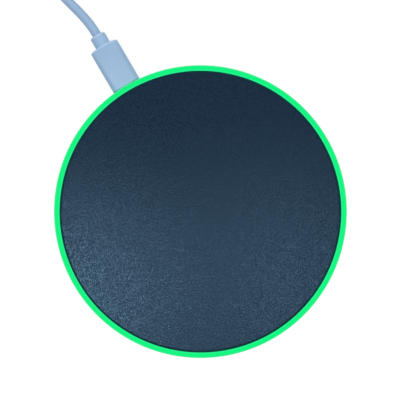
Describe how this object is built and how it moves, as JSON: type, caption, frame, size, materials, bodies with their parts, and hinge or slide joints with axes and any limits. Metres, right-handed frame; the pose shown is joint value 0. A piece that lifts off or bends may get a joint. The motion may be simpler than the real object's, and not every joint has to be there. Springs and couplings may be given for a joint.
{
  "type": "wireless charging pad",
  "caption": "Round wireless charging pad: soft dark disc with a glowing ring round its edge, on a pale case, with a pull-out USB-C cable and its wound cord.",
  "frame": {"origin": "centre of the round pad, on the table under its feet", "axes": "+Z up out of the charging surface, +X right and +Y up as seen from above; the cable's port faces 120.4 degrees counterclockwise from +X"},
  "size_m": [0.1118, 0.1893, 0.0094],
  "materials": {
    "case_plastic": "satin white",
    "foot_rubber": "matte",
    "screw_steel": "zinc plated",
    "ring_glow": "translucent, lit from inside",
    "plate_plastic": "matte",
    "skin_leather": "fine grain, soft sheen",
    "tape_film": "film",
    "copper_wire": "enamelled copper",
    "lead_sleeve": "varnish",
    "ferrite": "matte",
    "foam": "open foam",
    "epoxy_bead": "gloss",
    "board_laminate": "solder mask",
    "chip_black": "matte",
    "capacitor_tan": "matte",
    "light_board_white": "solder mask",
    "light_lens": "clear",
    "plug_steel": "plated",
    "contact_black": "matte",
    "plug_moulding": "fine satin",
    "cord_jacket": "satin",
    "tie_strap": "woven",
    "usb_a_steel": "plated",
    "contact_white": "satin",
    "contact_gold": "plated"
  },
  "bodies": {
    "pad": {"case_shell": "case_plastic", "feet": "foot_rubber", "case_screws": "screw_steel", "light_ring": "ring_glow", "top_plate": "plate_plastic", "top_skin": "skin_leather", "coil_tape": "tape_film", "charging_coil": "copper_wire", "coil_leads": "lead_sleeve", "ferrite_sheet": "ferrite", "foam_pad": "foam", "thermistor": "epoxy_bead", "main_board": "board_laminate", "controller_chip": "chip_black", "bridge_transistors": "chip_black", "resonance_capacitors": "capacitor_tan", "power_inductor": "ferrite", "small_components": "chip_black", "board_header": "chip_black", "light_board": "light_board_white", "lights": "light_lens", "socket_shell": "plug_steel", "socket_tongue": "contact_black"},
    "cable": {"plug_shell": "plug_steel", "plug_insert": "contact_black", "plug_overmould": "plug_moulding", "plug_boot": "plug_moulding", "cord": "cord_jacket", "cord_coil": "cord_jacket", "cord_tie": "tie_strap", "cord_tail": "cord_jacket", "usb_a_boot": "plug_moulding", "usb_a_overmould": "plug_moulding", "usb_a_shell": "usb_a_steel", "usb_a_tongue": "contact_white", "usb_a_contacts": "contact_gold"}
  },
  "joints": [
    {"name": "plug_pull", "type": "slide", "parent": "pad", "child": "cable", "axis": [-0.506, 0.8625, 0], "range_m": [0, 0.008]}
  ]
}
